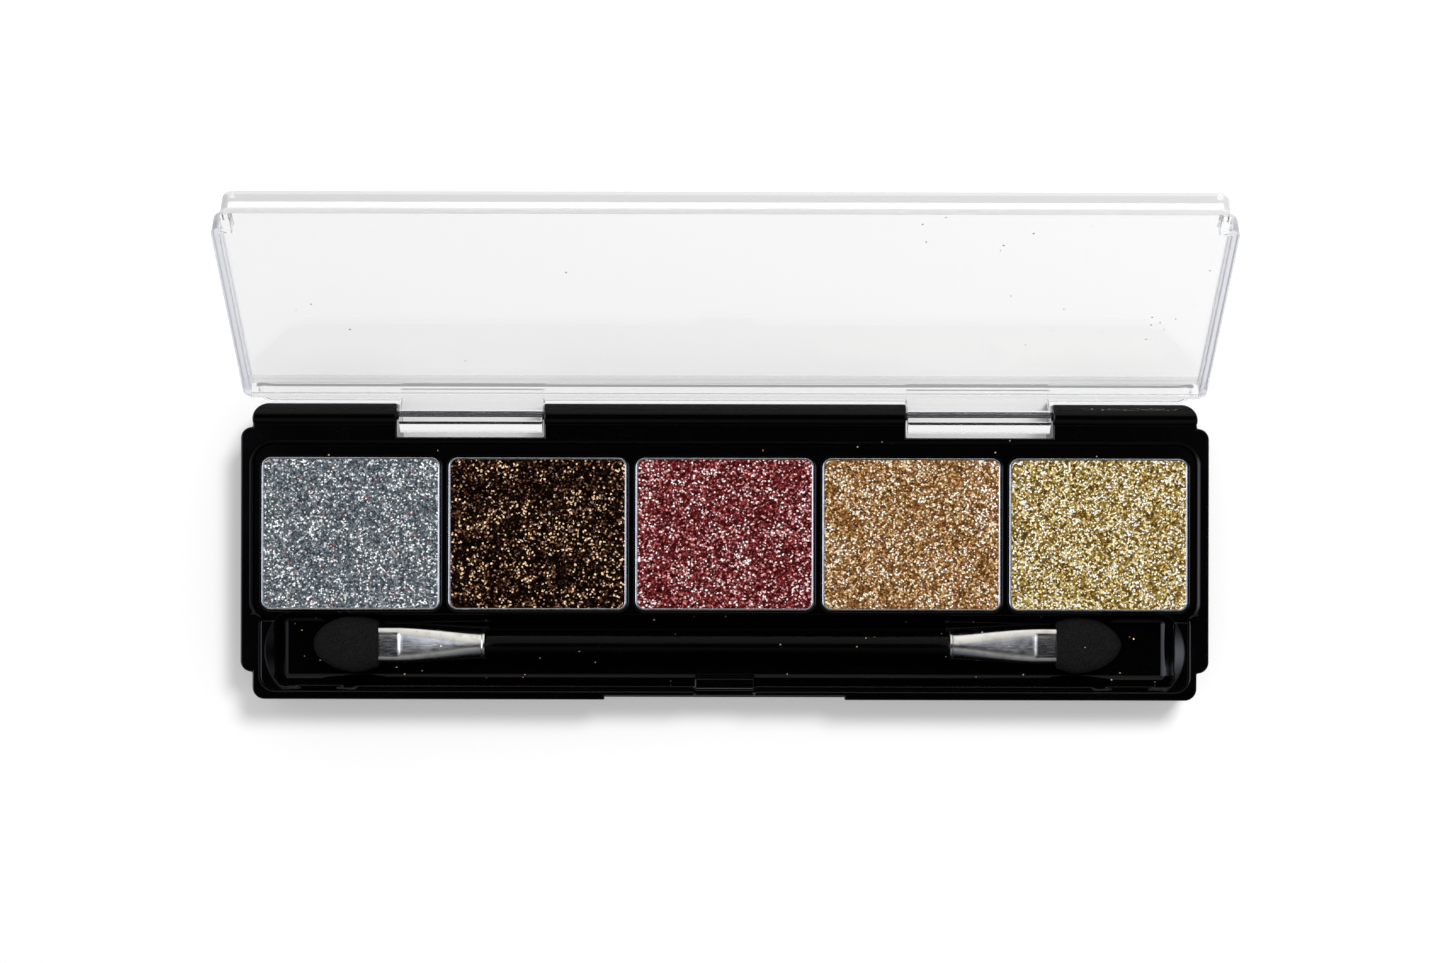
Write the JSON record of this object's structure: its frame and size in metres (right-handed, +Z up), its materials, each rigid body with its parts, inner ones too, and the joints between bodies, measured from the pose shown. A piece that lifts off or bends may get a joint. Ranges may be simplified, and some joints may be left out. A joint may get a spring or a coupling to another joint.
{
  "type": "eyeshadow palette",
  "caption": "Slim rectangular makeup palette: black tray of pressed glitter shadow pans, clear lid hinged along the rear, and a loose double-ended sponge applicator in a trough.",
  "frame": {"origin": "centre of the tray's underside, on the surface that it rests on", "axes": "+X along the hinge, towards the right end seen from the front; +Y from the front edge to the hinge; +Z up"},
  "size_m": [0.121, 0.0611, 0.0325],
  "materials": {
    "tray_plastic": "gloss",
    "pan_metal": "satin",
    "shadow_silver": "glitter",
    "shadow_brown": "glitter",
    "shadow_rose": "glitter",
    "shadow_bronze": "glitter",
    "shadow_gold": "glitter",
    "adhesive": "satin",
    "pin_steel": "satin",
    "lid_plastic": "gloss",
    "handle_plastic": "gloss",
    "ferrule_metal": "satin",
    "stem_plastic": "matte",
    "sponge_foam": "matte"
  },
  "bodies": {
    "base": {"base_shell": "tray_plastic", "pan_insert": "tray_plastic", "pan_silver": "pan_metal", "pan_brown": "pan_metal", "pan_rose": "pan_metal", "pan_bronze": "pan_metal", "pan_gold": "pan_metal", "shadow_silver": "shadow_silver", "shadow_brown": "shadow_brown", "shadow_rose": "shadow_rose", "shadow_bronze": "shadow_bronze", "shadow_gold": "shadow_gold", "pan_adhesive": "adhesive", "hinge_pin_left": "pin_steel", "hinge_pin_right": "pin_steel"},
    "lid": {"lid": "lid_plastic"},
    "applicator": {"applicator_handle": "handle_plastic", "ferrule_left": "ferrule_metal", "ferrule_right": "ferrule_metal", "tip_core_left": "stem_plastic", "tip_core_right": "stem_plastic", "sponge_tip_left": "sponge_foam", "sponge_tip_right": "sponge_foam"}
  },
  "joints": [
    {"name": "lid_hinge", "type": "hinge", "parent": "base", "child": "lid", "pos_m": [0, 0.017, 0.006], "axis": [1, 0, 0], "range_deg": [0, 129]},
    {"name": "applicator_lift", "type": "slide", "parent": "base", "child": "applicator", "axis": [0, 0, 1], "range_m": [0, 0.03]}
  ]
}
